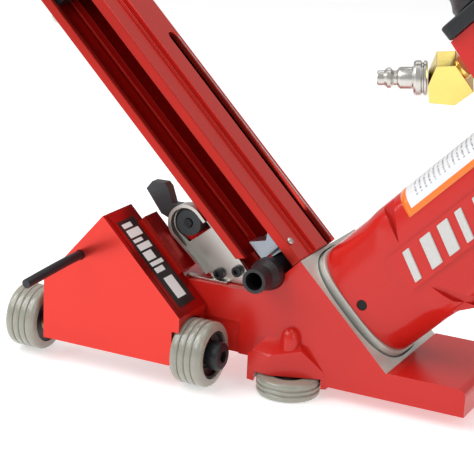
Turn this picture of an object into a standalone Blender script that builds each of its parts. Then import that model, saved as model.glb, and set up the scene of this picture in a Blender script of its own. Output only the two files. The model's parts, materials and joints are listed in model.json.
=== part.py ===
"""Flooring nailer with a roller carriage, built as separate named pieces.

X runs from the rollers (-X) to the foot (+X), Y runs along the floor board and Z is up.
The world's origin is on the sole.  Pieces are modelled in the tool frame, where the guide
disc turns about x = 0 and the rollers stand on z = 0, or in a frame that leans with the
drive axis: there x points down the magazine and z points up the cylinder.
"""
import math
import bpy
import bmesh
from mathutils import Vector

MM = 0.001
GAP = 0.3                 # clearance between touching pieces
LEAN = math.radians(45)   # drive axis from the vertical, towards +X

# driving dimensions, in millimetres
HALF_Y = 41.0             # half width of the base casting
SEAT_Z = 61.0             # machined seat of the housing, along the drive axis
SEAT_TOP, SEAT_LOW = 56.6, -26.5   # ends of the seat, measured up the magazine
AXIS_X = -15.3            # drive axis in the leaning frame
AXIS_Y = -3.0
HOUSE_D, HOUSE_Y = 38.0, 31.5      # half sizes of the housing's rounded section
HOUSE_TOP = 262.0
BORE_R = 27.0
FOOT_END, FOOT_TOP, FOOT_LOW = 111.0, 25.0, 8.0
ARM_END, ARM_TOP, ARM_LOW = -88.0, 58.0, 17.0
SHOULDER_X = -27.0
SOLE_X = 48.0             # middle of the sole
DISC_R, DISC_H, DISC_Y = 19.5, 11.5, -42.0
WHEEL_R, WHEEL_W = 20.2, 21.0
WHEEL_Y, WHEEL_Z = -61.0, 20.9
WHEEL_X = {"left": -169.5, "right": -51.6}
MAG_LOW, MAG_TOP = 57.0, 300.0     # ends of the magazine, measured up it
MAG_FRONT, MAG_BACK = -41.0, 5.0
FEED_D, FEED_N = 63.0, 40.0        # feeder grip's axis
LEVER_D, LEVER_N = 118.5, 12.0     # cam lever's pivot
CAR_FRONT, CAR_BACK = -76.0, -42.5
PLATE_Y = -33.0
LEG_LOW, LEG_HIGH = 211.0, 262.0   # handle leg, along the drive axis
GRIP_R = 17.0

for old in list(bpy.data.objects):
    bpy.data.objects.remove(old, do_unlink=True)

tool_frame = bpy.data.objects.new("tool_frame", None)
tool_frame.location = (-SOLE_X * MM, 0.0, -FOOT_LOW * MM)
bpy.context.scene.collection.objects.link(tool_frame)
lean_frame = bpy.data.objects.new("lean_frame", None)
lean_frame.rotation_euler = (0.0, LEAN, 0.0)
lean_frame.parent = tool_frame
bpy.context.scene.collection.objects.link(lean_frame)


def material(name, color, rough, metal=0.0):
    mat = bpy.data.materials.new(name)
    mat.use_nodes = True
    bsdf = mat.node_tree.nodes["Principled BSDF"]
    bsdf.inputs["Base Color"].default_value = (*color, 1.0)
    bsdf.inputs["Roughness"].default_value = rough
    bsdf.inputs["Metallic"].default_value = metal
    return mat


RED_PAINT = material("red_paint", (0.58, 0.045, 0.035), 0.35)
RED_ANODISED = material("red_anodised", (0.72, 0.05, 0.035), 0.3, 0.6)
STEEL = material("bright_steel", (0.62, 0.62, 0.58), 0.3, 1.0)
GREY_STEEL = material("machined_iron", (0.42, 0.42, 0.38), 0.45, 0.9)
ZINC = material("cast_zinc", (0.6, 0.62, 0.65), 0.35, 1.0)
BLACK_STEEL = material("black_steel", (0.03, 0.035, 0.04), 0.4, 0.5)
SLATE = material("slate_lever", (0.07, 0.085, 0.09), 0.5, 0.1)
RUBBER = material("black_rubber", (0.02, 0.02, 0.022), 0.7)
URETHANE = material("clear_urethane", (0.42, 0.42, 0.36), 0.35)
BRASS = material("brass", (0.8, 0.6, 0.2), 0.3, 1.0)
BRONZE = material("bearing_bronze", (0.5, 0.35, 0.18), 0.4, 1.0)


def finish(mesh_bm, name, mat, lean=False, origin=(0, 0, 0), smooth=True):
    """Turn a bmesh in millimetres into an object whose origin is the given point."""
    bmesh.ops.translate(mesh_bm, vec=-Vector(origin), verts=mesh_bm.verts)
    bmesh.ops.scale(mesh_bm, vec=(MM, MM, MM), verts=mesh_bm.verts)
    bmesh.ops.recalc_face_normals(mesh_bm, faces=mesh_bm.faces)
    mesh = bpy.data.meshes.new(name)
    mesh_bm.to_mesh(mesh)
    mesh_bm.free()
    if mat:
        mesh.materials.append(mat)
    if smooth:
        mesh.shade_smooth()
        mesh.set_sharp_from_angle(angle=math.radians(35))
    obj = bpy.data.objects.new(name, mesh)
    obj.location = Vector(origin) * MM
    obj.parent = lean_frame if lean else tool_frame
    bpy.context.scene.collection.objects.link(obj)
    return obj


def prism(points, axis, low, high, into=None):
    """Extrude an outline along x, y or z.  Outline pairs are the other two axes in order."""
    bm = into or bmesh.new()
    place = {"x": lambda a, b, h: (h, a, b), "y": lambda a, b, h: (a, h, b),
             "z": lambda a, b, h: (a, b, h)}[axis]
    bottom = [bm.verts.new(place(a, b, low)) for a, b in points]
    face = bm.faces.new(bottom)
    top = bmesh.ops.extrude_face_region(bm, geom=[face])["geom"]
    shift = Vector(place(0, 0, high)) - Vector(place(0, 0, low))
    bmesh.ops.translate(bm, vec=shift, verts=[v for v in top if isinstance(v, bmesh.types.BMVert)])
    return bm


def box(x0, x1, y0, y1, z0, z1, into=None):
    return prism([(x0, y0), (x1, y0), (x1, y1), (x0, y1)], "z", z0, z1, into)


def turned(profile, centre, axis, sides=32, into=None):
    """Spin a closed (radius, height) profile about an axis through centre."""
    bm = into or bmesh.new()
    axis = Vector(axis).normalized()
    turn = Vector((0, 0, 1)).rotation_difference(axis).to_matrix()
    solid = min(r for r, _ in profile) < 1e-6
    rings = []
    for r, h in profile:
        if r < 1e-6:
            rings.append([bm.verts.new(Vector(centre) + turn @ Vector((0, 0, h)))])
            continue
        ring = []
        for k in range(sides):
            a = 2 * math.pi * k / sides
            ring.append(bm.verts.new(Vector(centre) + turn @ Vector((r * math.cos(a), r * math.sin(a), h))))
        rings.append(ring)
    pairs = list(zip(rings, rings[1:]))
    if not solid:
        pairs.append((rings[-1], rings[0]))
    for lower, upper in pairs:
        for k in range(sides):
            j = (k + 1) % sides
            corners = [lower[k % len(lower)], lower[j % len(lower)],
                       upper[j % len(upper)], upper[k % len(upper)]]
            corners = list(dict.fromkeys(corners))
            if len(corners) > 2:
                bm.faces.new(corners)
    return bm


def rod(radius, low, high, centre, axis, sides=24, chamfer=0.0, into=None):
    c = chamfer
    profile = [(0, low), (radius - c, low), (radius, low + c), (radius, high - c), (radius - c, high), (0, high)]
    if c == 0:
        profile = [(0, low), (radius, low), (radius, high), (0, high)]
    return turned(profile, centre, axis, sides, into)


def tube(outer, inner, low, high, centre, axis, sides=32, into=None):
    profile = [(inner, low), (outer, low), (outer, high), (inner, high)]
    return turned(profile, centre, axis, sides, into)


def boolean(obj, other, operation):
    other.hide_render = True
    other.display_type = "WIRE"
    mod = obj.modifiers.new(operation.lower(), "BOOLEAN")
    mod.operation = operation
    mod.object = other


def cut(obj, bm, lean=False):
    boolean(obj, finish(bm, obj.name + "_cutter", None, lean, smooth=False), "DIFFERENCE")


def add(obj, bm, lean=False):
    boolean(obj, finish(bm, obj.name + "_adder", None, lean, smooth=False), "UNION")


def arc(cx, cy, r, start, end, steps):
    turn = [math.radians(start + (end - start) * k / steps) for k in range(steps + 1)]
    return [(cx + r * math.cos(a), cy + r * math.sin(a)) for a in turn]


def leaning(x, z):
    """World X and Z of a point in the leaning frame."""
    return (x * math.cos(LEAN) + z * math.sin(LEAN), -x * math.sin(LEAN) + z * math.cos(LEAN))


def rounded_section(half_a, half_b, power, sides=40):
    """Superellipse outline, rounder than a square and flatter than a circle."""
    points = []
    for k in range(sides):
        a = 2 * math.pi * k / sides
        c, s = math.cos(a), math.sin(a)
        points.append((half_a * math.copysign(abs(c) ** (2 / power), c),
                       half_b * math.copysign(abs(s) ** (2 / power), s)))
    return points


# ---------------------------------------------------------------- base casting
def make_base():
    top = leaning(-SEAT_TOP, SEAT_Z)
    low = leaning(-SEAT_LOW, SEAT_Z)
    knee = leaning(-SEAT_TOP, 25.6)
    outline = [top, knee, (ARM_END, ARM_TOP), (ARM_END + 6, ARM_LOW + 8), (ARM_END + 14, ARM_LOW),
               (SHOULDER_X, ARM_LOW), (SHOULDER_X, FOOT_LOW), (FOOT_END, FOOT_LOW)]
    outline += arc(FOOT_END - 5, FOOT_TOP - 5, 5, 0, 90, 4) + [(low[0] + 0.6, FOOT_TOP), low]
    base = finish(prism(outline, "y", -HALF_Y, HALF_Y), "base_casting", RED_PAINT)
    # the arm is narrower than the seat block
    cut(base, box(ARM_END - 5, -34, 22, HALF_Y + 5, 0, 70))
    # relief for the right roller
    for lift in (0, 7.5):
        cut(base, rod(WHEEL_R + 1.8, -95, -35, (0, WHEEL_Y, WHEEL_Z + lift), (1, 0, 0), 40))
    # wall behind the cam lever, and the rail below it
    wall = prism([(-130, -9), (-55, -9), (-55, 22), (-130, 22)], "y", -14.5, -8)
    add(base, wall, lean=True)
    add(base, prism([(-106, -4), (-55, -4), (-55, 15), (-106, 15)], "y", -29.7, -8.5), lean=True)
    # guide-disc pocket block on the front, with a bullet boss over the axle
    plan = [(-24, -30), (-24, -50.5), (-9, -53), (24, -40.5), (24, -30)]
    block = finish(prism(plan, "z", 6, 40), "disc_block", None, smooth=False)
    sides = [(-30, 0), (-30, 19), (-22, 24), (-16, 32), (6, 32), (25, 14), (30, 8.5), (30, 0)]
    boolean(block, finish(prism(sides, "y", -60, -20), "disc_block_side", None, smooth=False), "INTERSECT")
    ends = [(-60, 0), (-54.5, 21.5), (-52, 25.5), (-41, 32), (-20, 32), (-20, 0)]
    boolean(block, finish(prism(ends, "x", -40, 40), "disc_block_end", None, smooth=False), "INTERSECT")
    boolean(base, block, "UNION")
    add(base, turned([(0, 20), (6, 20), (6, 35), (4.6, 38.6), (2.4, 40.4), (0, 41)], (0, DISC_Y, 0), (0, 0, 1), 20))
    pocket = [(0, -2), (DISC_R + 1.5, -2), (DISC_R + 1.5, DISC_H + 0.7), (3.3, DISC_H + 0.7), (3.3, 27), (0, 27)]
    cut(base, turned(pocket, (0, DISC_Y, 0), (0, 0, 1), 36))
    # notch for the feeder grip at rest
    cut(base, rod(10.5, -45, -15, (-FEED_D, 0, FEED_N - 1), (0, 1, 0), 28), lean=True)
    # shallow pocket that the housing flange drops into
    ring = [(AXIS_X + a, AXIS_Y + b) for a, b in rounded_section(39.6, 34.0, 2.8, 48)]
    cut(base, prism(ring, "z", SEAT_Z - 2.5, SEAT_Z + 5), lean=True)
    # drive channel through the seat, and the nail track that meets the magazine
    cut(base, box(AXIS_X - 2, AXIS_X + 2, AXIS_Y - 4, AXIS_Y + 4, -20, 70), lean=True)
    cut(base, box(-62, AXIS_X + 1, AXIS_Y - 3, AXIS_Y + 3, 36, 57), lean=True)
    cut(base, rod(9, 58, 66, (AXIS_X, AXIS_Y, 0), (0, 0, 1), 24), lean=True)
    return base


def make_flange():
    shape = [(AXIS_X + a, AXIS_Y + b) for a, b in rounded_section(38.5, 30.8, 3.2, 48)]
    ring = finish(prism(shape, "z", SEAT_Z - 2.5 + GAP, SEAT_Z + 4), "housing_flange", GREY_STEEL, True)
    cut(ring, rod(9, 50, 80, (AXIS_X, AXIS_Y, 0), (0, 0, 1), 24), True)
    return ring


def make_housing():
    low = SEAT_Z + 4 + GAP
    stages = [(low, 37.5, 30.0, 2.7), (99.0, 37.5, 30.0, 2.7), (110.0, HOUSE_D, HOUSE_Y, 4.0),
              (HOUSE_TOP, HOUSE_D, HOUSE_Y, 4.0)]
    bm = bmesh.new()
    rings = []
    for z, a, b, power in stages:
        ring = [bm.verts.new((AXIS_X + p, AXIS_Y + q, z)) for p, q in rounded_section(a, b, power, 48)]
        rings.append(ring)
    for lower, upper in zip(rings, rings[1:]):
        for k in range(len(lower)):
            j = (k + 1) % len(lower)
            bm.faces.new([lower[k], lower[j], upper[j], upper[k]])
    bm.faces.new(rings[0])
    bm.faces.new(rings[-1])
    house = finish(bm, "housing", RED_PAINT, True)
    # exhaust bulge under the cylinder
    bulge = [(AXIS_X + 20, 110), (AXIS_X + 35, 110), (AXIS_X + 46, 135), (AXIS_X + 46, 215),
             (AXIS_X + 36, 232), (AXIS_X + 20, 232)]
    add(house, prism(bulge, "y", AXIS_Y - 22, AXIS_Y + 22), True)
    # raised panel on both flanks
    for side in (-1, 1):
        inner, outer = sorted((AXIS_Y + side * (HOUSE_Y - 4), AXIS_Y + side * (HOUSE_Y + 1.4)))
        add(house, box(-26.5, -3, inner, outer, 105, 236), True)
    # handle leg
    leg = [(-100, LEG_LOW), (-40, LEG_LOW - 6), (-30, LEG_LOW - 6), (-30, LEG_HIGH), (-100, LEG_HIGH)]
    add(house, prism(leg, "y", AXIS_Y - 20, AXIS_Y + 20), True)
    cut(house, rod(BORE_R, low - 5, HOUSE_TOP + 5, (AXIS_X, AXIS_Y, 0), (0, 0, 1), 48), True)
    # vent port near the flange
    cut(house, rod(3.4, -60, AXIS_Y - 24, (-14.2, 0, 71.5), (0, 1, 0), 16), True)
    return house


def make_cylinder_parts():
    centre = (AXIS_X, AXIS_Y, 0)
    up = (0, 0, 1)
    low = SEAT_Z + 4 + GAP
    finish(tube(BORE_R - GAP, 24.5, low + GAP, 222, centre, up, 48), "cylinder_sleeve", STEEL, True)
    finish(tube(24.2, 8, low + GAP, low + 13, centre, up, 32), "bumper", RUBBER, True)
    valve = [(7, 222 + GAP), (BORE_R - GAP, 222 + GAP), (BORE_R - GAP, 232), (7, 232)]
    finish(turned(valve, centre, up, 40), "valve_plate", ZINC, True)
    cap = [(7, HOUSE_TOP + GAP), (33, HOUSE_TOP + GAP), (33, HOUSE_TOP + 8), (31, HOUSE_TOP + 10), (7, HOUSE_TOP + 10)]
    finish(turned(cap, centre, up, 40), "top_cap", RED_PAINT, True)
    for k in range(4):
        a = math.radians(45 + 90 * k)
        spot = (AXIS_X + 27 * math.cos(a), AXIS_Y + 27 * math.sin(a), HOUSE_TOP + 10)
        finish(rod(4, GAP, 4.5, spot, up, 16, 0.6), f"cap_screw_{k + 1}", BLACK_STEEL, True)


def make_piston():
    centre = (AXIS_X, AXIS_Y, 0)
    up = (0, 0, 1)
    body = [(0, 190), (24, 190), (24, 194), (22, 194), (22, 198), (24, 198), (24, 204), (0, 204)]
    finish(turned(body, centre, up, 40), "piston", ZINC, True, centre)
    finish(tube(24.3, 22 + GAP, 194 + GAP, 198 - GAP, centre, up, 40), "piston_ring", RUBBER, True, centre)
    blade = box(AXIS_X - 1.2, AXIS_X + 1.2, AXIS_Y - 3, AXIS_Y + 3, 66, 190 - GAP)
    finish(blade, "driver_blade", STEEL, True, centre)


def make_strike_cap():
    centre = (AXIS_X, AXIS_Y, 0)
    up = (0, 0, 1)
    head = [(0, 289), (18, 289), (21, 291), (22, 295), (22, 303), (20, 308), (12, 311), (0, 311)]
    finish(turned(head, centre, up, 36), "strike_cap", RUBBER, True, centre)
    finish(rod(6.5, 250, 289 - GAP, centre, up, 24, 0.8), "ram_stem", STEEL, True, centre)
    coil = bmesh.new()
    turns, per_turn, wire, radius = 3, 14, 0.9, 11.0
    low, high = HOUSE_TOP + 10 + GAP + wire, 289 - GAP - wire
    rings = []
    for k in range(turns * per_turn + 1):
        a = 2 * math.pi * k / per_turn
        z = low + (high - low) * k / (turns * per_turn)
        out = Vector((math.cos(a), math.sin(a), 0))
        ring = []
        for m in range(6):
            b = 2 * math.pi * m / 6
            spot = Vector(centre) + out * (radius + wire * math.cos(b)) + Vector((0, 0, z + wire * math.sin(b)))
            ring.append(coil.verts.new(spot))
        rings.append(ring)
    for lower, upper in zip(rings, rings[1:]):
        for m in range(6):
            coil.faces.new([lower[m], lower[(m + 1) % 6], upper[(m + 1) % 6], upper[m]])
    coil.faces.new(rings[0])
    coil.faces.new(rings[-1])
    finish(coil, "return_spring", STEEL, True)


# ---------------------------------------------------------------- handle and air inlet
def make_handle():
    shape = arc(AXIS_Y + 19, LEG_HIGH - 3, 5, 0, 90, 3) + arc(AXIS_Y - 19, LEG_HIGH - 3, 5, 90, 180, 3)
    shape += arc(AXIS_Y - 19, LEG_LOW + 5, 5, 180, 270, 3) + arc(AXIS_Y + 19, LEG_LOW + 5, 5, 270, 360, 3)
    finish(prism(shape, "x", -109, -100 - GAP), "handle_flange", BLACK_STEEL, True)
    mid = (0, AXIS_Y, (LEG_LOW + LEG_HIGH) / 2)
    grip = [(0, 109 + GAP), (GRIP_R + 3, 109 + GAP), (GRIP_R + 3, 114), (GRIP_R, 120)]
    grip += [(GRIP_R + 1.5 * math.sin(math.pi * k / 6), 120 + 140 * k / 6) for k in range(1, 6)]
    grip += [(GRIP_R, 260), (GRIP_R + 3, 266), (GRIP_R + 3, 272), (0, 272)]
    finish(turned(grip, mid, (-1, 0, 0), 28), "handle_grip", RUBBER, True)
    end = [(0, 272 + GAP), (GRIP_R + 2, 272 + GAP), (GRIP_R + 2, 277), (GRIP_R - 2, 281), (0, 283)]
    finish(turned(end, mid, (-1, 0, 0), 28), "grip_end_cap", BLACK_STEEL, True)


PLUG_TURN = math.radians(29)
ELBOW = Vector((-86.0, AXIS_Y - 9.0, 193.5))
PLUG_DIR = Vector((-math.cos(PLUG_TURN), -math.sin(PLUG_TURN), -1)).normalized()


def make_air_inlet():
    """Forty-five degree elbow with flat cheeks: screwed into the leg, and holding the plug."""
    leg_dir = Vector((0, 0, 1))
    cheek = PLUG_DIR.cross(leg_dir).normalized()
    up = cheek.cross(PLUG_DIR)
    outline = [(11.5, -11.5), (12.2, 0), (7.5, 12.5), (-3, 13), (-13.5, -4), (-3, -13)]
    bm = bmesh.new()
    front = [bm.verts.new(ELBOW + PLUG_DIR * a + up * b - cheek * 8.5) for a, b in outline]
    geom = bmesh.ops.extrude_face_region(bm, geom=[bm.faces.new(front)])["geom"]
    bmesh.ops.translate(bm, vec=cheek * 17, verts=[v for v in geom if isinstance(v, bmesh.types.BMVert)])
    elbow = finish(bm, "air_elbow", BRASS, True)
    add(elbow, rod(6.5, 2, LEG_LOW - 5.6 - ELBOW.z, ELBOW, leg_dir, 20), True)
    bore = 3.0
    seat = 12.2 + GAP
    shape = [(bore, seat), (9.4, seat), (10.1, seat + 1), (10.1, seat + 7), (9.4, seat + 8), (6.3, seat + 8.3),
             (6.3, seat + 16), (4.3, seat + 18), (4.3, seat + 19.5), (6, seat + 21), (6, seat + 23),
             (4.3, seat + 24.5), (4.3, seat + 28.5), (bore, seat + 28.5)]
    finish(turned(shape, ELBOW, PLUG_DIR, 24), "air_plug", STEEL, True)


# ---------------------------------------------------------------- magazine and feeder
def make_magazine():
    front, back = MAG_FRONT, MAG_BACK
    section = [(front, 26), (back, 26), (back, 64.4), (-22, 64.4), (-22, 61), (front, 61), (front, 54.5),
               (-37.5, 54.5), (-37.5, 57.5), (-18, 57.5), (-18, 60.8), (1.5, 60.8), (1.5, 35), (-20, 35),
               (-20, 29.5), (-37, 29.5), (-37, 31.5), (front, 31.5)]
    mag = finish(prism(section, "x", -MAG_TOP, -MAG_LOW), "magazine_channel", RED_ANODISED, True)
    cut(mag, prism([(-86, 20), (-50, 20), (-50, 36), (-76, 36)], "y", -50, -18), True)
    slot = arc(-221 + 4, -3, 4, 270, 90, 8) + arc(-55.5 - 4, -3, 4, 90, -90, 8)
    cut(mag, prism(slot, "z", 58, 70), True)
    finish(box(-MAG_TOP - 4, -MAG_TOP - GAP, front, back, 26, 64.4), "magazine_end_plate", BLACK_STEEL, True)
    stop = box(-292, -274, -34, -20.5, 29.5 + GAP, 57)
    finish(stop, "spring_stop", BLACK_STEEL, True)
    bolt = rod(4.2, -6, -GAP, (-270, -31, 26), (0, 0, 1), 16, 1.5)
    finish(bolt, "magazine_nut", STEEL, True)
    finish(rod(2.4, GAP, 1.8, (-70, -37, 61), (0, 0, 1), 14, 0.5), "magazine_screw_1", STEEL, True)
    for k, d in enumerate((70, 150, 288)):
        screw = rod(2.4, GAP, 1.8, (-d, back, 50), (0, 1, 0), 14, 0.5)
        finish(screw, f"magazine_screw_{k + 2}", STEEL, True)


def make_feeder():
    origin = (-FEED_D, 0, FEED_N)
    shoe = prism([(-86, 36), (-72, 36), (-72, 56.5), (-88, 56.5), (-80, 46)], "y", -33, -19)
    feeder = finish(shoe, "feeder_shoe", ZINC, True, origin)
    add(feeder, box(-84, -57.6, -19.7, -1, 35.5, 56.5), True)
    grip = [(5.5, -63), (7.5, -63), (7.5, -53), (9.8, -48), (9.8, -42), (7.5, -41.5), (7.5, -20 - GAP), (5.5, -20 - GAP)]
    finish(turned(grip, (-FEED_D, 0, FEED_N), (0, 1, 0), 28), "feeder_grip", RUBBER, True, origin)
    strip = box(-261.6, -84.3, -16, -9, 45, 46)
    finish(strip, "feeder_spring", STEEL, True)


# ---------------------------------------------------------------- slide plate and cam lever
def make_slide_plate():
    y0, y1 = PLATE_Y, PLATE_Y + 3
    mid, reach, low = (-118.5, 10.6), 12.6, 0.9
    outline = [(-82.3, low), (-64.5, 18.2), (-66, 22), (-80, mid[1] + reach)] + arc(*mid, reach, 90, 264, 14)
    plate = finish(prism(outline, "y", y0, y1), "slide_plate", STEEL, True)
    rim = [(-87, low - 0.2)] + arc(*mid, reach, -96, -270, 14) + [(-112, mid[1] + reach), (-112, mid[1] + reach - 2.1)]
    rim += arc(*mid, reach - 2.1, -270, -96, 14) + [(-87, low + 1.9)]
    add(plate, prism(rim, "y", y0 - 5, y0 + 1), True)
    add(plate, box(-75, -47, y0 - 4, y0 + 1, ARM_TOP + GAP, ARM_TOP + 1.3))
    window = arc(*mid, reach - 2.4, 90, 264, 12) + [(-109.5, 2.5), (-107.5, mid[1] + 10.2)]
    cut(plate, prism(window, "y", y0 - 3, y1 + 3), True)
    for k, (x, z) in enumerate(((-82.5, 6.6), (-76.5, 18))):
        screw = rod(3.4, y0 - 3.5, y0 - GAP, (x, 0, z), (0, 1, 0), 16, 0.5)
        finish(screw, f"slide_plate_screw_{k + 1}", BLACK_STEEL, True)


def make_cam_lever():
    pivot = (-LEVER_D, 0, LEVER_N)
    d, n = pivot[0], pivot[2]
    arm = [(d - 4, n - 8), (d + 3, n + 5), (d - 5, n + 8), (d - 9, n + 3), (d - 16.5, n - 5), (d - 26, n - 0.5),
           (d - 29.5, n - 0.6), (d - 35.6, n - 7), (d - 34.8, n - 13.6), (d - 16.7, n - 16), (d - 8, n - 12)]
    lever = finish(prism(arm, "y", -29.5, -22.5), "cam_lever", SLATE, True, pivot)
    add(lever, rod(8.3, -36, -15.2, pivot, (0, 1, 0), 24), True)
    cut(lever, rod(2.9, -45, 0, pivot, (0, 1, 0), 16), True)
    finish(rod(2.6, -37, -14.5 - GAP, pivot, (0, 1, 0), 16), "cam_pivot_pin", BLACK_STEEL, True, pivot)


# ---------------------------------------------------------------- roller carriage
def make_carriage():
    b, c = leaning(-150, -9), leaning(-73, -9)
    outline = [(-154, 14), (c[0], 14), c, b, (-154, b[1] - (b[0] + 154) * 1.15)]
    body = finish(prism(outline, "y", CAR_FRONT, CAR_BACK), "roller_carriage", RED_ANODISED)
    inner_b, inner_c = leaning(-145, -14), leaning(-81, -14)
    hollow = [(-140, 0), (-78, 0), (-78, inner_c[1] - 4), inner_c, inner_b, (-140, 60)]
    cut(body, prism(hollow, "y", CAR_FRONT + 5, CAR_BACK + 5))
    # slide shoe beside the steel plate
    add(body, prism([(-138, -13), (-97, -13), (-97, -5), (-138, -5)], "y", CAR_BACK - 3, -30.5), True)
    # room for the right roller
    cut(body, rod(WHEEL_R + 1.0, -62.8, -40, (0, WHEEL_Y, WHEEL_Z), (1, 0, 0), 40))
    # groove lines beside the label face
    cut(body, box(-155, -60, CAR_FRONT + 3.2, CAR_FRONT + 4.2, -10.2, -5), True)
    # axle bores
    cut(body, rod(3.2, -200, 0, (0, WHEEL_Y, WHEEL_Z), (1, 0, 0), 16))
    # toe rod root
    cut(body, rod(3.0 + GAP, -10, 4.7, (-128, CAR_FRONT, 72.5), (0, 1, 0), 16))


def make_toe_rod():
    path = [Vector((-128, CAR_FRONT + 4.3, 72.5)), Vector((-128, CAR_FRONT - 8, 72.5)),
            Vector((-128.6, CAR_FRONT - 13, 72.0)), Vector((-132.5, CAR_FRONT - 52, 67))]
    bm = bmesh.new()
    sides, radius = 14, 3.0
    rings = []
    for k, point in enumerate(path):
        ahead = path[min(k + 1, len(path) - 1)] - path[max(k - 1, 0)]
        turn = Vector((0, -1, 0)).rotation_difference(ahead.normalized()).to_matrix()
        ring = []
        for m in range(sides):
            a = 2 * math.pi * m / sides
            ring.append(bm.verts.new(point + turn @ Vector((radius * math.cos(a), 0, radius * math.sin(a)))))
        rings.append(ring)
    for lower, upper in zip(rings, rings[1:]):
        for m in range(sides):
            bm.faces.new([lower[m], lower[(m + 1) % sides], upper[(m + 1) % sides], upper[m]])
    bm.faces.new(rings[0])
    bm.faces.new(rings[-1])
    finish(bm, "toe_rod", BLACK_STEEL)


def grooved(radius, width, inner, grooves, depth=0.9):
    """Tread profile of a tyre lying between -width/2 and +width/2."""
    half = width / 2
    points = [(inner, -half), (radius - 2, -half), (radius - 0.5, -half + 1)]
    for k in range(grooves):
        mid = -half + width * (k + 1) / (grooves + 1)
        points += [(radius, mid - 1.4), (radius - depth, mid - 0.5), (radius - depth, mid + 0.5), (radius, mid + 1.4)]
    return points + [(radius - 0.5, half - 1), (radius - 2, half), (inner, half)]


def make_wheels():
    for side, x in WHEEL_X.items():
        out = 1 if side == "right" else -1
        centre = (x, WHEEL_Y, WHEEL_Z)
        axis = (out, 0, 0)
        half = WHEEL_W / 2
        finish(turned(grooved(WHEEL_R, WHEEL_W, 14.9, 3), centre, axis, 28), side + "_roller_tyre", URETHANE,
               False, centre)
        hub = [(8.2, -half + 1), (14.6, -half + 1), (14.6, half - 1.5), (12.5, half - 1.5), (11.5, half - 4),
               (8.2, half - 4)]
        finish(turned(hub, centre, axis, 32), side + "_roller_hub", RUBBER, False, centre)
        finish(tube(7.9, 4.2, -half + 1.5, half - 4.5, centre, axis, 24), side + "_roller_bearing", BRONZE,
               False, centre)
        bolt = [(0, -half - 14), (2.9, -half - 14), (2.9, -half - 0.5), (3.9, -half - 0.5), (3.9, half - 2.5),
                (8.8, half - 2.5), (8.8, half + 5), (8.0, half + 6), (3.4, half + 6), (3.4, half - 0.5),
                (0, half - 0.5)]
        finish(turned(bolt, centre, axis, 24), side + "_axle_bolt", BLACK_STEEL, False, centre)


def make_guide_disc():
    centre = (0, DISC_Y, DISC_H / 2)
    up = (0, 0, 1)
    finish(turned(grooved(DISC_R, DISC_H, 10.8, 2, 0.7), centre, up, 30), "guide_disc_tyre", URETHANE, False, centre)
    finish(tube(10.5, 7.2, -DISC_H / 2 + 0.6, DISC_H / 2 - 0.3, centre, up, 28), "guide_disc_hub", RUBBER, False, centre)
    finish(tube(6.9, 3.6, -DISC_H / 2 + 1.6, DISC_H / 2 - 0.4, centre, up, 24), "guide_disc_bearing", BRONZE,
           False, centre)
    bolt = [(0, -DISC_H / 2 + 0.2), (5.5, -DISC_H / 2 + 0.2), (5.5, -DISC_H / 2 + 1.3), (3.0, -DISC_H / 2 + 1.3),
            (3.0, 20), (0, 20)]
    finish(turned(bolt, centre, up, 20), "disc_axle_bolt", STEEL, False, centre)


make_base()
make_flange()
make_housing()
make_cylinder_parts()
make_piston()
make_strike_cap()
make_handle()
make_air_inlet()
make_magazine()
make_feeder()
make_slide_plate()
make_cam_lever()
make_carriage()
make_toe_rod()
make_wheels()
make_guide_disc()
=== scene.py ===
"""Looks of the flooring nailer: bevelled castings, turned rollers, finishes, floor, lights and camera."""
import json
import math
import bmesh
import bpy
from mathutils import Matrix, Vector


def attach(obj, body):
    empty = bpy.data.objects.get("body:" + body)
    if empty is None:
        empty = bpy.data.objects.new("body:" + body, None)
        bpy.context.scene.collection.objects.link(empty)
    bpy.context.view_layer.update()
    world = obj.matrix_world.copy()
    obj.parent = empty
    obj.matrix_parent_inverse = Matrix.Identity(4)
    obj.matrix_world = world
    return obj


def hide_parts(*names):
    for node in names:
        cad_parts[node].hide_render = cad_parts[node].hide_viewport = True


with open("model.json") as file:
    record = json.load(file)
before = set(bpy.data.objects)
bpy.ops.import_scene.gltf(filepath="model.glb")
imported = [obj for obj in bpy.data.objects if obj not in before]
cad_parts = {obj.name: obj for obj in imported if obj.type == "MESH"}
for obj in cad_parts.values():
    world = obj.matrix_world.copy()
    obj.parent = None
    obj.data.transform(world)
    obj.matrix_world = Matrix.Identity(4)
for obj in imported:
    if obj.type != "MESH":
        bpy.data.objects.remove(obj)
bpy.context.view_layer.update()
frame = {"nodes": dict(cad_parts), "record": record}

# millimetre frames of the part: upright, and leaning with the drive axis
UPRIGHT = Matrix.Translation((-0.048, 0.0, -0.008)) @ Matrix.Scale(0.001, 4)
LEANING = UPRIGHT @ Matrix.Rotation(math.radians(45), 4, "Y")
BODY_OF = {node: body for body, nodes in frame["record"]["behaviour"]["bodies"].items() for node in nodes}
SLOT_OF = {part["node"]: part["material_slot"] for part in frame["record"]["subparts"]}
AXIS = Vector((-15.3, -3.0, 0.0))          # drive axis in the leaning frame


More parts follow.
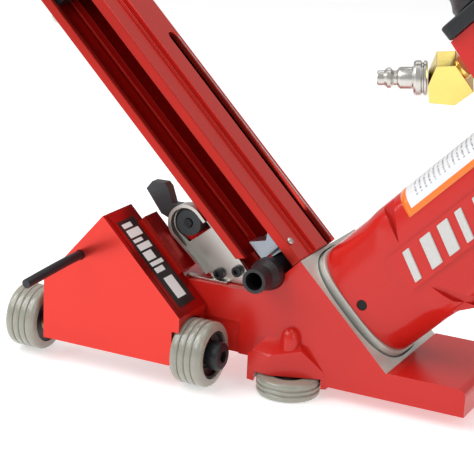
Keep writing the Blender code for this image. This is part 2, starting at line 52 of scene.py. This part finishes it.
# ---------------------------------------------------------------- finishes
def finish_of(name, color, rough, metal=0.0, spread=0.08, grain=500.0, bump=0.04, stretch=(1, 1, 1),
              turn=0.0, blotch=0.06, rough_spread=0.08, **sockets):
    """Colour and gloss vary with a fine grain and a broad blotch, and the grain lifts the surface."""
    mat = bpy.data.materials.new(name)
    mat.use_nodes = True
    tree = mat.node_tree
    new, link = tree.nodes.new, tree.links.new
    shader = tree.nodes["Principled BSDF"]
    spot, mapping = new("ShaderNodeTexCoord"), new("ShaderNodeMapping")
    mapping.inputs["Rotation"].default_value = (0, turn, 0)
    mapping.inputs["Scale"].default_value = stretch
    fine, broad = new("ShaderNodeTexNoise"), new("ShaderNodeTexNoise")
    fine.inputs["Scale"].default_value = grain
    fine.inputs["Detail"].default_value = 4
    broad.inputs["Scale"].default_value = 28
    broad.inputs["Detail"].default_value = 3
    link(spot.outputs["Object"], mapping.inputs["Vector"])
    link(mapping.outputs["Vector"], fine.inputs["Vector"])
    link(spot.outputs["Object"], broad.inputs["Vector"])
    tone = new("ShaderNodeMix")
    tone.data_type = "RGBA"
    tone.inputs[6].default_value = (*[c * (1 - spread) for c in color], 1)
    tone.inputs[7].default_value = (*[min(1, c * (1 + spread)) for c in color], 1)
    link(fine.outputs["Fac"], tone.inputs["Factor"])
    patch = new("ShaderNodeMix")
    patch.data_type = "RGBA"
    patch.blend_type = "MULTIPLY"
    patch.inputs["Factor"].default_value = 1
    shade = new("ShaderNodeMapRange")
    shade.inputs["To Min"].default_value = 1 - blotch
    shade.inputs["To Max"].default_value = 1 + blotch
    link(broad.outputs["Fac"], shade.inputs["Value"])
    link(tone.outputs[2], patch.inputs[6])
    link(shade.outputs["Result"], patch.inputs[7])
    link(patch.outputs[2], shader.inputs["Base Color"])
    gloss = new("ShaderNodeMapRange")
    gloss.inputs["To Min"].default_value = max(0.03, rough - rough_spread)
    gloss.inputs["To Max"].default_value = rough + rough_spread
    link(fine.outputs["Fac"], gloss.inputs["Value"])
    link(gloss.outputs["Result"], shader.inputs["Roughness"])
    lift = new("ShaderNodeBump")
    lift.inputs["Strength"].default_value = bump
    lift.inputs["Distance"].default_value = 0.0004
    link(fine.outputs["Fac"], lift.inputs["Height"])
    link(lift.outputs["Normal"], shader.inputs["Normal"])
    shader.inputs["Metallic"].default_value = metal
    for socket, value in sockets.items():
        shader.inputs[socket.replace("_", " ")].default_value = value
    mat["shader"] = shader.name
    return mat


FINISH = {
    "red_paint": finish_of("gloss_red_enamel", (0.58, 0.017, 0.012), 0.2, spread=0.03, grain=900, bump=0.05,
                           blotch=0.05, rough_spread=0.05, Specular_IOR_Level=0.4),
    "red_anodised": finish_of("red_anodised_aluminium", (0.7, 0.042, 0.03), 0.25, 0.75, spread=0.03,
                              grain=1100, bump=0.015, blotch=0.05, rough_spread=0.04, Coat_Weight=0.15,
                              Coat_Roughness=0.08),
    "bright_steel": finish_of("bright_steel", (0.6, 0.59, 0.55), 0.3, 1.0, spread=0.01, grain=260, bump=0.0,
                              blotch=0.08, rough_spread=0.01),
    "machined_iron": finish_of("machined_iron", (0.6, 0.6, 0.55), 0.4, 0.5, spread=0.12, grain=700,
                               stretch=(1, 0.12, 1), bump=0.05, blotch=0.25),
    "cast_zinc": finish_of("cast_zinc", (0.3, 0.33, 0.37), 0.3, 0.95, grain=700, bump=0.06, blotch=0.15),
    "black_steel": finish_of("black_oxide", (0.016, 0.018, 0.021), 0.36, 0.3, spread=0.2, grain=800,
                             bump=0.08),
    "slate_lever": finish_of("slate_grey_paint", (0.032, 0.038, 0.042), 0.4, spread=0.12, grain=900,
                             bump=0.1),
    "black_rubber": finish_of("black_rubber", (0.01, 0.01, 0.012), 0.42, spread=0.25, grain=1400, bump=0.15),
    "clear_urethane": finish_of("milky_urethane", (0.43, 0.43, 0.36), 0.2, spread=0.1, grain=220, bump=0.05,
                                blotch=0.16, Subsurface_Weight=0.25, Subsurface_Scale=0.003,
                                Transmission_Weight=0.3, Coat_Weight=0.5, Coat_Roughness=0.08),
    "brass": finish_of("machined_brass", (0.85, 0.66, 0.19), 0.24, 1.0, grain=500, bump=0.05, blotch=0.15),
    "bearing_bronze": finish_of("bearing_bronze", (0.5, 0.33, 0.15), 0.32, 1.0, grain=700, bump=0.05),
}
# darker red for the carriage's sloping face, and painted shade inside the magazine's trough
DARK_RED_AND_TROUGH_SHADE = finish_of("dark_red_and_painted_trough_shade", (0.4, 0.009, 0.007), 0.24, 0.7, spread=0.03, grain=1100, bump=0.015,
                     blotch=0.08, rough_spread=0.04)
LIP_RED = finish_of("shaded_red_anodised", (0.46, 0.02, 0.014), 0.3, 0.75, spread=0.03, grain=1100,
                    bump=0.015, blotch=0.12, rough_spread=0.05)
# black painted shade for the pocket round the seat's flange
POCKET_SHADE = finish_of("painted_pocket_shade", (0.008, 0.008, 0.008), 0.35, spread=0.4, grain=500, bump=0.3)
SILVER = finish_of("silver_letterpress", (0.62, 0.62, 0.6), 0.45, 0.2, spread=0.22, grain=1500, bump=0.5)
STICKER = finish_of("black_sticker", (0.012, 0.01, 0.01), 0.3, spread=0.1, grain=900, bump=0.02)
PRINT = finish_of("white_print", (0.8, 0.79, 0.78), 0.4, spread=0.03, grain=900, bump=0.02)
# black colour for the disc that stands for the shade inside the vent port
PORT_SHADE = finish_of("painted_port_shade", (0.004, 0.004, 0.004), 0.7, grain=1500, bump=0.4)


def notice_material():
    """White notice with an orange border and plain grey rules, drawn from the piece's own UV map."""
    mat = finish_of("notice_label", (0.8, 0.82, 0.84), 0.35, spread=0.02, grain=600, bump=0.02,
                    Coat_Weight=0.3)
    tree = mat.node_tree
    new, link = tree.nodes.new, tree.links.new
    shader = tree.nodes[mat["shader"]]
    uv, split = new("ShaderNodeUVMap"), new("ShaderNodeSeparateXYZ")
    uv.uv_map = "notice"
    link(uv.outputs["UV"], split.inputs["Vector"])

    def math_node(kind, *values):
        node = new("ShaderNodeMath")
        node.operation = kind
        for k, value in enumerate(values):
            if isinstance(value, (int, float)):
                node.inputs[k].default_value = value
            else:
                link(value, node.inputs[k])
        return node.outputs["Value"]

    u, v = split.outputs["X"], split.outputs["Y"]
    inside = math_node("MULTIPLY", math_node("GREATER_THAN", u, 0.045), math_node("GREATER_THAN", v, 0.1))
    rows = math_node("LESS_THAN", math_node("FRACT", math_node("MULTIPLY", u, 26.0)), 0.36)
    words, scale = new("ShaderNodeTexNoise"), new("ShaderNodeMapping")
    scale.inputs["Scale"].default_value = (26.0, 30.0, 1.0)
    link(uv.outputs["UV"], scale.inputs["Vector"])
    link(scale.outputs["Vector"], words.inputs["Vector"])
    words.inputs["Scale"].default_value = 1.0
    ink = math_node("MULTIPLY", rows, math_node("GREATER_THAN", words.outputs["Fac"], 0.47))
    field = math_node("MULTIPLY", math_node("GREATER_THAN", v, 0.24), math_node("LESS_THAN", v, 0.86))
    field = math_node("MULTIPLY", field, math_node("GREATER_THAN", u, 0.09))
    ink = math_node("MULTIPLY", math_node("MULTIPLY", ink, field), 0.75)
    printed, framed = new("ShaderNodeMix"), new("ShaderNodeMix")
    for mix in (printed, framed):
        mix.data_type = "RGBA"
    source = shader.inputs["Base Color"].links[0].from_socket
    link(source, printed.inputs[6])
    printed.inputs[7].default_value = (0.16, 0.17, 0.19, 1)
    link(ink, printed.inputs["Factor"])
    framed.inputs[6].default_value = (0.88, 0.2, 0.02, 1)
    link(printed.outputs[2], framed.inputs[7])
    link(inside, framed.inputs["Factor"])
    link(framed.outputs[2], shader.inputs["Base Color"])
    return mat


NOTICE = notice_material()


# ---------------------------------------------------------------- making pieces
def piece(bm, name, body, mat, place=LEANING, stands_for=(), bevel=0.0, segments=2, smooth=32,
          carve=(), flip=True):
    """Place a bmesh, shade it, give it its finish and its body, and let it stand for CAD nodes."""
    bmesh.ops.transform(bm, matrix=place, verts=bm.verts)
    if flip:
        bmesh.ops.recalc_face_normals(bm, faces=bm.faces)
    mesh = bpy.data.meshes.new(name)
    bm.to_mesh(mesh)
    bm.free()
    obj = bpy.data.objects.new(name, mesh)
    bpy.context.scene.collection.objects.link(obj)
    for cutter in carve:
        carved(obj, cutter)
    mesh = obj.data
    for each in mat if isinstance(mat, list) else [mat]:
        mesh.materials.append(each)
    mesh.shade_smooth()
    mesh.set_sharp_from_angle(angle=math.radians(smooth))
    if bevel:
        mod = obj.modifiers.new("edge", "BEVEL")
        mod.width = bevel * 0.001
        mod.segments = segments
        mod.limit_method = "ANGLE"
        mod.angle_limit = math.radians(34)
        obj.modifiers.new("even", "WEIGHTED_NORMAL").keep_sharp = True
    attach(obj, body)
    if stands_for:
        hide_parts(*stands_for)
    return obj


def carved(obj, cutter):
    """Take the volume of a placed bmesh, given as (bmesh, place), out of an object for good."""
    cutter_bm, place = cutter
    bmesh.ops.transform(cutter_bm, matrix=place, verts=cutter_bm.verts)
    bmesh.ops.recalc_face_normals(cutter_bm, faces=cutter_bm.faces)
    mesh = bpy.data.meshes.new("carving")
    cutter_bm.to_mesh(mesh)
    cutter_bm.free()
    tool = bpy.data.objects.new("carving", mesh)
    bpy.context.scene.collection.objects.link(tool)
    mod = obj.modifiers.new("carve", "BOOLEAN")
    mod.object = tool
    mod.solver = "EXACT"
    bpy.context.view_layer.update()
    graph = bpy.context.evaluated_depsgraph_get()
    cut_mesh = bpy.data.meshes.new_from_object(obj.evaluated_get(graph))
    obj.modifiers.clear()
    obj.data = cut_mesh
    bpy.data.objects.remove(tool)


def aimed(axis, centre):
    turn = Vector((0, 0, 1)).rotation_difference(Vector(axis).normalized()).to_matrix().to_4x4()
    return Matrix.Translation(Vector(centre)) @ turn


def spun(profile, axis=(0, 0, 1), centre=(0, 0, 0), steps=56):
    """Turn a (radius, height) profile about an axis. A profile that ends on the axis closes there."""
    bm = bmesh.new()
    verts = [bm.verts.new((r, 0, h)) for r, h in profile]
    edges = [bm.edges.new(pair) for pair in zip(verts, verts[1:])]
    if min(r for r, _ in profile) > 1e-6:
        edges.append(bm.edges.new((verts[-1], verts[0])))
    bmesh.ops.spin(bm, geom=verts + edges, cent=(0, 0, 0), axis=(0, 0, 1), angle=math.tau, steps=steps,
                   use_merge=True)
    bmesh.ops.remove_doubles(bm, verts=bm.verts, dist=1e-4)
    bmesh.ops.recalc_face_normals(bm, faces=bm.faces)
    bmesh.ops.transform(bm, matrix=aimed(axis, centre), verts=bm.verts)
    return bm


def slab(low, high):
    """Box between two corners."""
    bm = bmesh.new()
    low, high = Vector(low), Vector(high)
    made = bmesh.ops.create_cube(bm, size=1)["verts"]
    bmesh.ops.scale(bm, vec=high - low, verts=made)
    bmesh.ops.translate(bm, vec=(low + high) / 2, verts=made)
    return bm


def outline(points, axis, low, high):
    """Flat outline extruded along x, y or z, from low to high."""
    bm = bmesh.new()
    spot = {"x": lambda a, b, h: (h, a, b), "y": lambda a, b, h: (a, h, b),
            "z": lambda a, b, h: (a, b, h)}[axis]
    face = bm.faces.new([bm.verts.new(spot(a, b, low)) for a, b in points])
    raised = bmesh.ops.extrude_face_region(bm, geom=[face])["geom"]
    move = Vector(spot(0, 0, high)) - Vector(spot(0, 0, low))
    bmesh.ops.translate(bm, vec=move, verts=[g for g in raised if isinstance(g, bmesh.types.BMVert)])
    return bm


def hexagon(width, axis, centre, depth):
    """Six-sided prism that starts at centre and goes depth along the axis."""
    bm = bmesh.new()
    corner = width / math.sqrt(3)
    bmesh.ops.create_cone(bm, cap_ends=True, segments=6, radius1=corner, radius2=corner, depth=depth)
    bmesh.ops.translate(bm, vec=(0, 0, depth / 2), verts=bm.verts)
    bmesh.ops.transform(bm, matrix=aimed(axis, centre), verts=bm.verts)
    return bm


def refined(node, bevel, segments=3, mats=None, pick=None, carve=()):
    """A merged, edge-rounded copy of a CAD node that stands for it. pick gives a face its finish."""
    bm = bmesh.new()
    bm.from_mesh(frame["nodes"][node].data)
    bmesh.ops.remove_doubles(bm, verts=bm.verts, dist=2e-6)
    bmesh.ops.dissolve_limit(bm, angle_limit=math.radians(1.2), verts=bm.verts, edges=bm.edges)
    for face in bm.faces:
        face.material_index = pick(face) if pick else 0
    return piece(bm, node + "_finished", BODY_OF[node], mats or FINISH[SLOT_OF[node]],
                 Matrix.Identity(4), [node], bevel, segments, carve=carve, flip=False)


def leaning_point(point):
    """A world point in the leaning frame, in millimetres."""
    return LEANING.inverted() @ point


# ---------------------------------------------------------------- castings and plates
SEAT_Z, SEAT_POCKET_Z = 61.0, 58.5


def seat_finish(face):
    """0 is paint, 1 the bare machined seat, 2 the pocket round the flange, painted black as shade."""
    spot = leaning_point(face.calc_center_median())
    facing = face.normal.dot(Vector((1, 0, 1)).normalized())
    if spot.x > 28 or abs(spot.y) > 40.5:
        return 0
    if facing > 0.9 and spot.z > SEAT_Z - 0.3:
        return 1
    # the pocket's floor and narrow walls take the black painted shade
    narrow = face.calc_area() < 4e-5 and SEAT_POCKET_Z - 0.2 < spot.z < SEAT_Z
    return 2 if narrow or (facing > 0.9 and abs(spot.z - SEAT_POCKET_Z) < 0.3) else 0


def wedge(points, depth_at, surface=-34.2):
    """Cutter for a crease in the housing's front flank. depth_at gives its depth from the leaning x."""
    bm = outline(points, "y", -39, -20)
    for vert in bm.verts:
        if vert.co.y > -30:
            vert.co.y = surface + depth_at(vert.co.x)
    return bm, LEANING


upper_crease = wedge([(-56, 117), (-56, 127), (-44, 124.2), (-29.5, 116), (-44.5, 118.4)],
                     lambda x: 0.5 * (-29.5 - x))
lower_crease = wedge([(1.5, 115.4), (16, 119), (27, 127), (20, 128.4), (4, 119.4)], lambda x: 0.5 * (x - 1.5))
refined("base_casting", 1.1, 3, [FINISH["red_paint"], FINISH["machined_iron"], POCKET_SHADE], seat_finish)
refined("housing", 1.2, 3, carve=[upper_crease, lower_crease])
refined("housing_flange", 0.25, 2)


def sloping_finish(face):
    """The carriage's sloping face is a deeper red than its front."""
    return int(face.normal.dot(Vector((1, 0, 1)).normalized()) > 0.9)


MAG_FRONT_Y, MAG_BACK_Y = -41.0, 5.0
MAG_TOP_X, MAG_FACE_Z = -299.5, 61.0      # upper end of the magazine's trim, and its upper face


def trough_finish(face):
    """0 is the magazine's outer faces, 1 its trough, painted a darker red as shade, 2 the shaded lips on its
    front.
    """
    spot = leaning_point(face.calc_center_median())
    # faces inside the trough take the darker red as painted shade
    inside = MAG_FRONT_Y + 3 < spot.y < MAG_BACK_Y - 1 and 26.5 < spot.z < 60.6
    return 1 if inside else 2 * int(spot.y < MAG_FRONT_Y + 0.6)


refined("roller_carriage", 0.9, 3, [FINISH["red_anodised"], DARK_RED_AND_TROUGH_SHADE], sloping_finish)
refined("magazine_channel", 0.45, 2, [FINISH["red_anodised"], DARK_RED_AND_TROUGH_SHADE, LIP_RED], trough_finish)
refined("magazine_end_plate", 0.5, 2)
refined("slide_plate", 0.22, 2)
refined("cam_lever", 0.9, 3)
refined("feeder_shoe", 0.4, 2)
refined("air_elbow", 0.7, 3)
refined("handle_flange", 1.2, 3)
refined("top_cap", 0.8, 3)


HOUSING_HALF_X, HOUSING_HALF_Y, HOUSING_POWER = 38.0, 31.5, 4.0     # the section is a superellipse


def housing_outline(angle):
    """Point of the housing's rounded section at an angle, in the leaning frame."""
    c, s = math.cos(angle), math.sin(angle)
    return Vector((AXIS.x + HOUSING_HALF_X * math.copysign(abs(c) ** (2 / HOUSING_POWER), c),
                   AXIS.y + HOUSING_HALF_Y * math.copysign(abs(s) ** (2 / HOUSING_POWER), s), 0))


def wrapped(name, start, end, low, high, lift, mat, rows=28, columns=40):
    """Thin sticker that follows the housing's section between two angles."""
    bm = bmesh.new()
    bmesh.ops.create_grid(bm, x_segments=columns, y_segments=rows, size=0.5)
    uv = bm.loops.layers.uv.new("notice")
    for face in bm.faces:
        for loop in face.loops:
            loop[uv].uv = (loop.vert.co.x + 0.5, loop.vert.co.y + 0.5)
    for vert in bm.verts:
        along, across = vert.co.x + 0.5, vert.co.y + 0.5
        angle = math.radians(start + (end - start) * across)
        here = housing_outline(angle)
        step = housing_outline(angle + 0.01) - housing_outline(angle - 0.01)
        out = Vector((step.y, -step.x, 0)).normalized()
        vert.co = here + out * lift + Vector((0, 0, low + (high - low) * along))
    sheet = piece(bm, name, "root", mat)
    sheet.modifiers.new("film", "SOLIDIFY").thickness = 0.00012
    return sheet


wrapped("notice_sticker", 251, 176, 131, 226, 0.25, NOTICE)

# raised silver slants on both panels
SLANT_COUNT, SLANT_START, SLANT_PITCH = 9, 110, 13.6
for side in (-1, 1):
    face_y = AXIS.y + side * 32.9
    depths = sorted((face_y - side * 0.5, face_y + side * 0.9))
    for k in range(SLANT_COUNT):
        foot = SLANT_START + SLANT_PITCH * k
        wide = 8.2 if k % 3 else 5.2
        slant = [(-24.0, foot + 5), (-24.0, foot + 5 + wide), (-5.6, foot + wide), (-5.6, foot)]
        panel = "front" if side < 0 else "back"
        piece(outline(slant, "y", *depths), f"panel_slant_{panel}_{k + 1}", "root", SILVER, bevel=0.5)

# dark disc behind the vent port, painted shade for the inside of the hole
insert = [(0, 0), (3.2, 0), (3.2, 1.2), (0, 1.2)]
piece(spun(insert, (0, 1, 0), (-14.2, AXIS.y - 29.4, 71.5), 32), "vent_shade_disc", "root", PORT_SHADE)

# ---------------------------------------------------------------- carriage sticker
STICKER_N = -9.0          # height of the sloping face in the leaning frame


def stuck(name, along, across, mat, lift, thick=0.12):
    """Thin rectangle with eased edges on the carriage's sloping face."""
    (x0, x1), (y0, y1) = along, across
    bm = slab((x0, y0, STICKER_N + lift), (x1, y1, STICKER_N + lift + thick))
    return piece(bm, name, "carriage", mat, bevel=0.05)


stuck("carriage_sticker", (-142.5, -78.5), (-68.5, -49), STICKER, 0.02)
BAR_START, BAR_GAP = -140.0, 1.4
BAR_WIDTHS = (3.2, 5.6, 2.4, 4.4, 6.2, 2.8, 3.6)
for k, wide in enumerate(BAR_WIDTHS):
    x = BAR_START + sum(BAR_WIDTHS[:k]) + BAR_GAP * k
    stuck(f"carriage_bar_{k + 1}", (x, x + wide), (-66, -52 if k % 2 else -56), PRINT, 0.16)
stuck("carriage_block", (-99, -84), (-64, -54), PRINT, 0.16)

# ---------------------------------------------------------------- rollers and guide disc
WHEEL_Y, WHEEL_Z, WHEEL_R, HALF_W = -61.0, 20.9, 20.2, 10.5


def tread(radius, half, inner, bands, groove=0.9, shoulder=2.2):
    """Profile of a tyre with rounded bands between narrow grooves."""
    points = [(inner, -half), (radius - shoulder, -half), (radius - shoulder * 0.45, -half + shoulder * 0.28),
              (radius - 0.2, -half + shoulder * 0.8)]
    pitch = (2 * half - 2 * shoulder * 0.7) / bands
    for k in range(bands):
        low = -half + shoulder * 0.7 + pitch * k
        if k:
            points += [(radius - 0.25, low - 0.55), (radius - groove, low - 0.22),
                       (radius - groove, low + 0.22), (radius - 0.25, low + 0.55)]
        points += [(radius, low + pitch * 0.3), (radius, low + pitch * 0.7)]
    return points + [(radius - 0.2, half - shoulder * 0.8),
                     (radius - shoulder * 0.45, half - shoulder * 0.28), (radius - shoulder, half),
                     (inner, half)]


for side, wheel_x in (("left", -169.5), ("right", -51.6)):
    out = 1 if side == "right" else -1
    axis, centre = (out, 0, 0), (wheel_x, WHEEL_Y, WHEEL_Z)
    body = side + "_roller"
    piece(spun(tread(WHEEL_R, HALF_W, 14.9, 4), axis, centre, 96), body + "_tyre_turned", body,
          FINISH["clear_urethane"], UPRIGHT, [body + "_tyre"])
    hub = [(8.2, -9.5), (14.8, -9.5), (14.8, 9.0), (14.1, 9.4), (13.3, 9.0), (12.9, 7.2), (11.2, 6.0),
           (9.0, 5.6), (8.2, 6.2)]
    piece(spun(hub, axis, centre, 72), body + "_hub_turned", body, FINISH["black_rubber"],
          UPRIGHT, [body + "_hub"])
    ring = [(4.2, -9), (7.9, -9), (7.9, 5.6), (7.4, 6.0), (5.4, 6.0), (5.0, 5.4), (4.2, 5.4)]
    piece(spun(ring, axis, centre, 56), body + "_bearing_turned", body, FINISH["bearing_bronze"],
          UPRIGHT, [body + "_bearing"])
    bolt = [(0, -24.5), (2.9, -24.5), (2.9, -11), (3.9, -11), (3.9, 8), (8.3, 8), (8.8, 8.5), (8.8, 14.6),
            (8.5, 15.6), (7.4, 16.4), (0, 16.6)]
    socket = hexagon(7.0, axis, Vector(centre) + Vector(axis) * 12.4, 6)
    piece(spun(bolt, axis, centre, 64), side + "_axle_bolt_turned", "carriage", FINISH["black_steel"],
          UPRIGHT, [side + "_axle_bolt"], carve=[(socket, UPRIGHT)])

DISC_H = 11.5
disc_centre = (0, -42.0, DISC_H / 2)
piece(spun(tread(19.5, DISC_H / 2, 10.8, 3, 0.8, 1.6), (0, 0, 1), disc_centre, 96), "guide_disc_tyre_turned",
      "guide_disc", FINISH["clear_urethane"], UPRIGHT, ["guide_disc_tyre"])
disc_hub = [(7.2, -5.1), (10.1, -5.1), (10.5, -4.7), (10.5, 5.1), (10.1, 5.5), (7.2, 5.5)]
piece(spun(disc_hub, (0, 0, 1), disc_centre, 64), "guide_disc_hub_turned", "guide_disc",
      FINISH["black_rubber"], UPRIGHT, ["guide_disc_hub"])

# ---------------------------------------------------------------- air plug
plug_turn = math.radians(29)
ELBOW = Vector((-86.0, -12.0, 193.5))
PLUG = Vector((-math.cos(plug_turn), -math.sin(plug_turn), -1)).normalized()
seat = 12.5               # the plug starts this far from the middle of the elbow
nose = [(3.0, seat), (9.2, seat), (10.0, seat + 0.8), (10.0, seat + 1.9), (8.9, seat + 2.5), (8.9, seat + 3.1),
        (10.1, seat + 3.8), (10.1, seat + 6.6), (9.3, seat + 7.8), (7.0, seat + 8.2), (6.4, seat + 8.8),
        (6.4, seat + 15.2), (5.9, seat + 16.2), (4.4, seat + 17.4), (4.2, seat + 19.0), (4.9, seat + 20.2),
        (5.9, seat + 20.8), (6.0, seat + 22.6), (5.1, seat + 23.6), (4.3, seat + 24.6), (4.3, seat + 27.9),
        (3.9, seat + 28.4), (3.0, seat + 28.4)]
piece(spun(nose, PLUG, ELBOW, 64), "air_plug_turned", "root", FINISH["bright_steel"],
      LEANING, ["air_plug"])

# ---------------------------------------------------------------- grip and strike cap
GRIP_Z, RIB_COUNT, RIB_PITCH = 236.5, 22, 6.4
ribs = [(0, 109.3), (19.2, 109.3), (20.0, 110.2), (20.0, 113.4), (18.2, 116.5)]
for k in range(RIB_COUNT):
    d = 120 + RIB_PITCH * k
    swell = 1.5 * math.sin(math.pi * (d - 120) / 141)
    ribs += [(17 + swell, d), (17.6 + swell, d + 1.0), (17.6 + swell, d + 4.2), (17 + swell, d + 5.2)]
ribs += [(17, 261), (19.2, 265.5), (20, 266.6), (20, 271.2), (19.2, 272), (0, 272)]
piece(spun(ribs, (-1, 0, 0), (0, AXIS.y, GRIP_Z), 72), "handle_grip_ribbed", "root", FINISH["black_rubber"],
      LEANING, ["handle_grip"])
knob = [(0, 289), (17.4, 289), (19, 289.8), (20.6, 291), (21.7, 293), (22, 295.4), (22, 302), (21.4, 305),
        (19.8, 308), (16.5, 310), (12, 311), (6, 311), (5, 310.2), (0, 310.2)]
piece(spun(knob, (0, 0, 1), AXIS, 80), "strike_cap_turned", "ram", FINISH["black_rubber"],
      LEANING, ["strike_cap"])

# ---------------------------------------------------------------- fasteners
CAP_SCREW_CIRCLE, CAP_FACE_Z, PLATE_Y = 27, 272.0, -33.0
for k in range(4):
    angle = math.radians(45 + 90 * k)
    spot = Vector((AXIS.x + CAP_SCREW_CIRCLE * math.cos(angle), AXIS.y + CAP_SCREW_CIRCLE * math.sin(angle),
                   CAP_FACE_Z))
    head = [(0, 0.3), (3.9, 0.3), (4.0, 0.6), (4.0, 3.9), (3.6, 4.4), (0, 4.5)]
    socket = hexagon(4.0, (0, 0, 1), spot + Vector((0, 0, 2)), 4)
    piece(spun(head, (0, 0, 1), spot, 40), f"cap_screw_{k + 1}_turned", "root", FINISH["black_steel"],
          LEANING, [f"cap_screw_{k + 1}"], carve=[(socket, LEANING)])
for k, (x, z) in enumerate(((-82.5, 6.6), (-76.5, 18))):
    head = [(0, 0.3), (3.3, 0.3), (3.4, 0.5), (3.4, 2.9), (3.0, 3.4), (0, 3.5)]
    spot = Vector((x, PLATE_Y, z))
    socket = hexagon(3.2, (0, -1, 0), spot + Vector((0, -1.6, 0)), 4)
    piece(spun(head, (0, -1, 0), spot, 36), f"slide_plate_screw_{k + 1}_turned", "root",
          FINISH["black_steel"], LEANING, [f"slide_plate_screw_{k + 1}"],
          carve=[(socket, LEANING)])
spots = [((-70, -37, 61), (0, 0, 1))] + [((-d, 5, 50), (0, 1, 0)) for d in (70, 150, 288)]
for k, (spot, axis) in enumerate(spots):
    head = [(0, 0.3), (2.4, 0.3), (2.4, 0.8), (2.0, 1.4), (1.2, 1.75), (0, 1.8)]
    cross = slab((-0.3, -1.6, 1.2), (0.3, 1.6, 3))
    bmesh.ops.transform(cross, matrix=aimed(axis, spot), verts=cross.verts)
    piece(spun(head, axis, spot, 32), f"magazine_screw_{k + 1}_turned", "root", FINISH["bright_steel"],
          LEANING, [f"magazine_screw_{k + 1}"], carve=[(cross, LEANING)])
nut = [(0, -6), (2.8, -6), (4.2, -4.4), (4.2, -1.9), (3.6, -1.5), (4.2, -1.1), (4.2, -0.3), (0, -0.3)]
piece(spun(nut, (0, 0, 1), (-270, -31, 26), 6), "magazine_nut_cut", "root", FINISH["bright_steel"],
      LEANING, ["magazine_nut"], bevel=0.2)

# ---------------------------------------------------------------- toe rod
def swept(points, radius):
    """Round bar along a smooth line through the points."""
    curve = bpy.data.curves.new("bar", "CURVE")
    curve.dimensions = "3D"
    curve.bevel_depth, curve.bevel_resolution, curve.use_fill_caps = radius, 8, True
    line = curve.splines.new("NURBS")
    line.points.add(len(points) - 1)
    for spot, where in zip(line.points, points):
        spot.co = (*where, 1)
    line.order_u, line.resolution_u, line.use_endpoint_u = 4, 12, True
    holder = bpy.data.objects.new("bar", curve)
    bpy.context.scene.collection.objects.link(holder)
    bpy.context.view_layer.update()
    mesh = bpy.data.meshes.new_from_object(holder.evaluated_get(bpy.context.evaluated_depsgraph_get()))
    bpy.data.objects.remove(holder)
    bm = bmesh.new()
    bm.from_mesh(mesh)
    bmesh.ops.remove_doubles(bm, verts=bm.verts, dist=1e-4)
    return bm


rod = [(-128, -72, 72.5), (-128, -78, 72.5), (-128, -84, 72.5), (-128.6, -92, 71.8), (-130.6, -112, 69.4),
       (-132.4, -127.5, 67.1)]
piece(swept(rod, 2.9), "toe_rod_bent", "carriage", FINISH["black_steel"], UPRIGHT, ["toe_rod"],
      bevel=0.5)

# ---------------------------------------------------------------- magazine trim
for k, y in enumerate((-23.6, -25.4)):
    rail = slab((MAG_TOP_X, y - 0.45, MAG_FACE_Z), (-57.5, y + 0.45, MAG_FACE_Z + 0.7))
    piece(rail, f"magazine_bead_{k + 1}", "root", FINISH["red_anodised"], bevel=0.3)

piece(slab((-299, -20.8, 30.4), (-90, -20.0, 31.4)), "trough_bead", "root", FINISH["red_anodised"],
      bevel=0.25)
piece(slab((-217, 1.1, 64.2), (-60, 1.7, 64.8)), "slot_bead", "root", FINISH["bright_steel"],
      bevel=0.15)

# ---------------------------------------------------------------- CAD nodes that show as they are
for name, node in frame["nodes"].items():
    if not node.hide_render:
        node.data.materials.clear()
        node.data.materials.append(FINISH[SLOT_OF[name]])

# ---------------------------------------------------------------- floor, light and camera
FLOOR_Z = -0.0083
bm = bmesh.new()
bmesh.ops.create_grid(bm, x_segments=2, y_segments=2, size=6)
bmesh.ops.translate(bm, vec=(0, 0, FLOOR_Z), verts=bm.verts)
floor_mesh = bpy.data.meshes.new("floor")
bm.to_mesh(floor_mesh)
bm.free()
floor = bpy.data.objects.new("floor", floor_mesh)
bpy.context.scene.collection.objects.link(floor)
white = finish_of("white_table", (0.8, 0.8, 0.8), 0.35, spread=0.0, blotch=0.0, bump=0.0,
                  Emission_Strength=0.45)
white.node_tree.nodes[white["shader"]].inputs["Emission Color"].default_value = (1, 1, 1, 1)
floor_mesh.materials.append(white)


def soft_light(name, spot, target, size, power):
    data = bpy.data.lights.new(name, "AREA")
    data.shape = "RECTANGLE"
    data.size, data.size_y = size
    data.energy = power
    lamp = bpy.data.objects.new(name, data)
    lamp.location = spot
    lamp.rotation_euler = (Vector(target) - Vector(spot)).to_track_quat("-Z", "Y").to_euler()
    bpy.context.scene.collection.objects.link(lamp)


soft_light("key", (-0.7, -0.9, 1.1), (0, 0, 0.1), (0.9, 0.9), 8.5)
soft_light("top", (0.1, 0.3, 1.5), (0, 0, 0.1), (1.4, 1.0), 9)
soft_light("edge_strip", (-0.95, -0.35, 0.95), (0, 0, 0.08), (0.12, 1.1), 4)
soft_light("right_fill", (1.3, -0.6, 0.7), (0, 0, 0.1), (0.5, 1.0), 3)

scene = bpy.context.scene
world = bpy.data.worlds.new("studio")
world.use_nodes = True
world.node_tree.nodes["Background"].inputs["Color"].default_value = (1, 1, 1, 1)
world.node_tree.nodes["Background"].inputs["Strength"].default_value = 0.5
scene.world = world
scene.view_settings.view_transform = "Standard"

AZIMUTH, ELEVATION, ROLL = (math.radians(a) for a in (26.3, 16.7, 2.58))
back = Vector((math.sin(AZIMUTH) * math.cos(ELEVATION), -math.cos(AZIMUTH) * math.cos(ELEVATION),
               math.sin(ELEVATION)))
right = Vector((math.cos(AZIMUTH), math.sin(AZIMUTH), 0))
up = back.cross(right)
camera_right = math.cos(ROLL) * right + math.sin(ROLL) * up
camera_up = -math.sin(ROLL) * right + math.cos(ROLL) * up
camera = bpy.data.objects.new("camera", bpy.data.cameras.new("camera"))
camera.data.lens = 121.52
camera.data.sensor_width = 36
camera.data.clip_start = 0.05
turned = Matrix((camera_right, camera_up, back)).transposed().to_4x4()
camera.matrix_world = Matrix.Translation((0.3203, -0.8659, 0.3587)) @ turned
scene.collection.objects.link(camera)
scene.camera = camera
